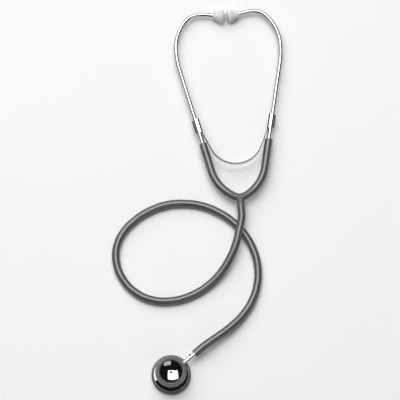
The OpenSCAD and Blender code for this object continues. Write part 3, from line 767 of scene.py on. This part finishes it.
PORT_R, BORE_R, SPINDLE_END = 1.5, 3.6, 14
BORE_FROM, BORE_TO = -7.3, 30
BOSS_R, BOSS_FROM, BOSS_TO = 5.4, 10.2, 17
DISH_R, DISH_RISE, DISH_TOP = 18.4, 3, 5.5
BOWL_R, BOWL_DEPTH, BOWL_BOTTOM = 15, 6, 17.2
dish = [(r, DISH_TOP - z) for r, z in dome(DISH_R, DISH_RISE, 0) if r > PORT_R]
bowl = [(r, z) for r, z in dome(BOWL_R, BOWL_DEPTH, BOWL_BOTTOM, 36) if r > PORT_R]
BODY_PROFILE = (
    [(PORT_R, 5.45)] + dish + [(20.1, 2.5), (20.1, 5.7), (20.4, 5.7), (20.4, 6.5)]
    + arc((31, 12.4), 19, 6.65, 235, 180, 24) + arc((20.6, 12.4), 8.6, 8.4, 180, 116, 20)[1:]
    + [(17, 21.2), (17, 23.2)] + bowl[::-1] + [(PORT_R, 17.25)]
)
bm = turn(BODY_PROFILE, steps=160, closed=True, soften=0.15)
body_mesh = bpy.data.meshes.new("chestpiece_turned")
bm.to_mesh(body_mesh)
bm.free()
turned_body = place("chestpiece_turned", body_mesh)
bm = bmesh.new()
bore_middle = Matrix.Translation(((BORE_FROM + BORE_TO) / 2 * MM, 0, STEM_Z * MM))
bmesh.ops.create_cone(bm, cap_ends=True, segments=64, radius1=BORE_R * MM, radius2=BORE_R * MM,
                      depth=(BORE_TO - BORE_FROM) * MM,
                      matrix=bore_middle @ Matrix.Rotation(math.pi / 2, 4, "Y"))
drill_mesh = bpy.data.meshes.new("drill")
bm.to_mesh(drill_mesh)
bm.free()
drill = place("drill", drill_mesh)
drilling = turned_body.modifiers.new("bore", "BOOLEAN")
drilling.operation, drilling.solver, drilling.object = "DIFFERENCE", "EXACT", drill
bm = bmesh.new()
bm.from_mesh(evaluated(turned_body))
bpy.data.objects.remove(drill)
bpy.data.objects.remove(turned_body)
chest_body = finish_mesh(bm, "chestpiece_body_chrome", bright_chrome, "chrome", "chestpiece",
                         "chestpiece_body", move=chest)
BOSS_PROFILE = [(BORE_R, BOSS_FROM), (BOSS_R, BOSS_FROM), (BOSS_R, BOSS_TO), (BORE_R, BOSS_TO)]
finish_mesh(turn(BOSS_PROFILE, steps=64, closed=True, soften=0.25), "chestpiece_boss", bright_chrome, "chrome",
            "chestpiece", move=along_stem)


def in_a_bore(p):
    return math.hypot(p.x, p.y) < PORT_R + 0.1 or math.hypot(p.y, p.z - STEM_Z) < BORE_R + 0.05


# Painted shade: the walls of the bores and the hidden spindle get the near-black finish.
paint_shade(chest_body, painted_shade_steel, in_a_bore)
paint_shade(stem, painted_shade_steel, lambda p: p.x < SPINDLE_END)
print("chestpiece faces", len(chest_body.data.polygons))

# %% [markdown]
# ## The rubber rings
# Soft rings keep cold metal off the skin. The bell's ring snaps over the lip, and grooves
# on its top leave two rounded ridges inside a flat edge. The grooves and the ring's inner lip
# are painted near black as shade. The wide rim holds the diaphragm side.

# %% Rubber rings
BELL_RING = (
    [(17.02, 18.8)] + arc((17.7, 19.6), 0.8, 0.8, -90, 0, 6) + arc((16.1, 22.1), 2.4, 2.4, 0, 62, 10)
    + [(16.75, 24.2), (16.45, 23.72), (15.95, 23.72)] + arc((15.0, 23.6), 0.85, 0.9, 10, 170, 10)
    + [(14.1, 23.9)] + arc((13.65, 23.75), 0.65, 0.65, 60, 180, 8)
    + [(13, 22.6), (13.5, 23.22), (17.02, 23.22)]
)
GROOVE_IN, GROOVE_OUT, GROOVE_Z, INNER_LIP_R = 15.45, 16.6, 23.5, 14.2
RIM = (
    [(19.6, 0.4), (20, 0)] + arc((21.7, 1.5), 1.5, 1.5, -90, 0, 8) + arc((21, 4.8), 2.2, 2.2, 0, 90, 12)
    + [(20.42, 7.0), (20.42, 5.72), (21.54, 5.72), (21.54, 1.18), (19.6, 1.18)]
)
bell_ring = finish_mesh(turn(BELL_RING, steps=128, closed=True), "bell_ring_rubber", ring_rubber,
                        "rim_rubber", "chestpiece", "bell_ring", move=chest)
# The rim gets the darker rubber, which is painted shade.
rim = finish_mesh(turn(RIM, steps=144, closed=True), "diaphragm_rim_rubber", rim_rubber, "rim_rubber",
                  "chestpiece", "diaphragm_rim", move=chest)
# Painted shade: the ring's inner lip and its grooves get the near-black rubber.
paint_shade(bell_ring, seal_rubber, lambda p: math.hypot(p.x, p.y) < INNER_LIP_R
     or (GROOVE_IN < math.hypot(p.x, p.y) < GROOVE_OUT and p.z > GROOVE_Z))
print("ring faces", len(bell_ring.data.polygons), len(rim.data.polygons))

# %% [markdown]
# ## Finishes on the remaining solids
# The hidden fittings keep their solids. Each still gets its own finish.

# %% Finish the other solids
hose_curve.materials.append(hose_rubber)
REST = {
    "left_tip_ferrule": steel, "right_tip_ferrule": steel, "retaining_ring": steel, "detent_ball": steel,
    "detent_spring": steel, "detent_screw": steel, "stem_seals": seal_rubber, "diaphragm": pale_sheet,
}
for node, material in REST.items():
    data = nodes[node].data
    data.materials.clear()
    data.materials.append(material)
print("finished solids:", len(REST))

# %% [markdown]
# ## Table and light
# The table is plain and pale. One very large soft panel hangs behind and to the left, with a
# brighter middle, and a weak reflector hangs in front and to the right. The rest of the room
# is dark: that is what draws a white line and dark edges on the chrome, and a white square in
# the bowl. The table itself throws enough light back up to keep the undersides readable.

# %% Table and lamps
TABLE_HALF = 12
ROOM_GLOW = 0.012
f = new_finish("table_white")
paper = f.spread(f.spots(3), 0.3, 0.7)
table_white = f.surface(Base_Color=f.blend(paper, (0.91, 0.91, 0.91), (0.92, 0.92, 0.92)), Roughness=0.6)
bm = bmesh.new()
bmesh.ops.create_grid(bm, x_segments=1, y_segments=1, size=TABLE_HALF)
table_mesh = bpy.data.meshes.new("table")
bm.to_mesh(table_mesh)
bm.free()
table_mesh.materials.append(table_white)
table = place("table", table_mesh)


def panel(name, sideways, back, distance, half_angle, radiance, shape=1.0):
    """A flat lamp in a direction, in degrees from straight up.

    Its half width is an angle, its height a share of its width."""
    toward = Vector((math.tan(math.radians(sideways)), math.tan(math.radians(back)), 1)).normalized()
    across = (Vector((1, 0, 0)) - toward.x * toward).normalized()
    size = 2 * distance * math.tan(math.radians(half_angle))
    lamp = bpy.data.lights.new(name, "AREA")
    lamp.shape = "RECTANGLE"
    lamp.size, lamp.size_y = size, size * shape
    lamp.energy = radiance * math.pi * lamp.size * lamp.size_y
    lit = place(name, lamp)
    lit.location = AIM + distance * toward
    lit.rotation_euler = Matrix((across, toward.cross(across), toward)).transposed().to_euler()


panel("big_panel", sideways=-16, back=30, distance=4.2, half_angle=31, radiance=2.0)
panel("panel_middle", sideways=-2, back=14, distance=4.0, half_angle=19, radiance=3.0)
panel("side_reflector", sideways=30, back=-50, distance=4.2, half_angle=20, radiance=0.85, shape=0.6)

world = Finish(bpy.data.worlds.new("room"))
scene.world = world.owner
room = world.node("ShaderNodeBackground", inputs={"Color": (1, 1, 1, 1), "Strength": ROOM_GLOW})
world.node("ShaderNodeOutputWorld", inputs={"Surface": room})

# %% [markdown]
# ## Finish

# %% Finish
bpy.context.view_layer.update()
